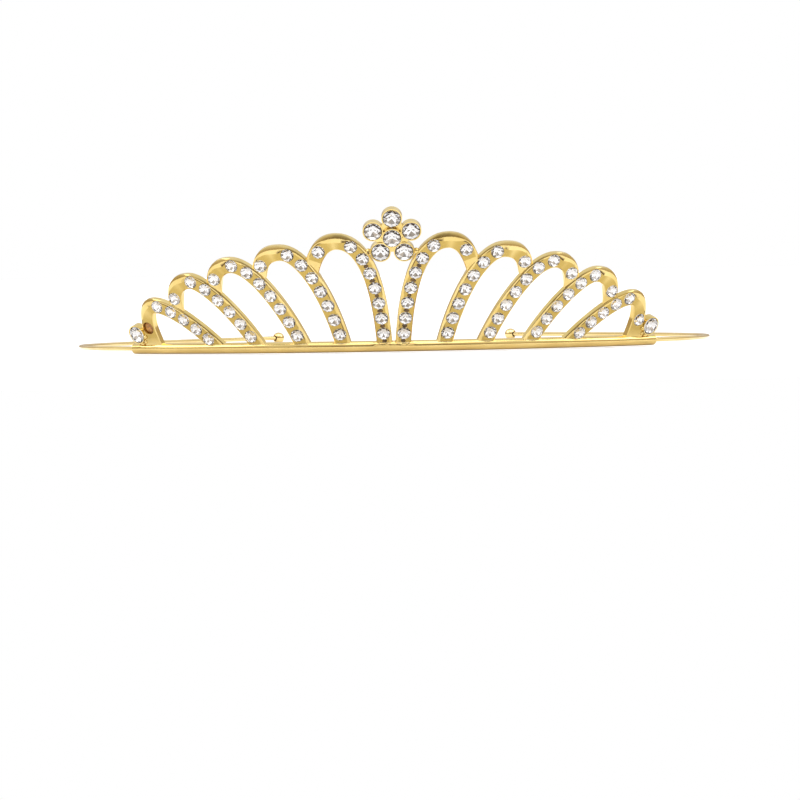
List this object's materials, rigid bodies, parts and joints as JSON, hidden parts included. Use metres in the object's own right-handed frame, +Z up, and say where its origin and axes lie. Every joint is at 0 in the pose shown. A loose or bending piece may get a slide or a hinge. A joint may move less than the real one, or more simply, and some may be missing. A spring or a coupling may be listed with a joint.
{
  "type": "crown headband",
  "caption": "Open spring-wire headband with a small pierced crown of leaning arches, set with round clear stones and a five-petal stone flower at the middle.",
  "frame": {"origin": "floor point under the middle of the whole piece, as it lies flat on a table", "axes": "+X across the band towards the picture's right, +Y from the crown to the open ends of the wire, +Z up"},
  "size_m": [0.142, 0.1366, 0.0306],
  "materials": {
    "gold_casting": "polished pale gold plate over cast metal and tube",
    "gold_wire": "polished pale gold plate over spring wire",
    "gold_ball": "polished pale gold plate",
    "crystal": "clear cut glass with a foiled back"
  },
  "bodies": {
    "root": {"crown_frame": "gold_casting", "headband_wire": "gold_wire", "ball_left": "gold_ball", "ball_right": "gold_ball", "flower_stone_middle": "crystal", "flower_stone_1": "crystal", "flower_stone_2": "crystal", "flower_stone_3": "crystal", "flower_stone_4": "crystal", "flower_stone_5": "crystal", "end_stone_left": "crystal", "end_stone_right": "crystal", "row_left_1": "crystal", "row_left_2": "crystal", "row_left_3": "crystal", "row_left_4": "crystal", "row_left_5": "crystal", "row_right_1": "crystal", "row_right_2": "crystal", "row_right_3": "crystal", "row_right_4": "crystal", "row_right_5": "crystal"}
  },
  "joints": []
}
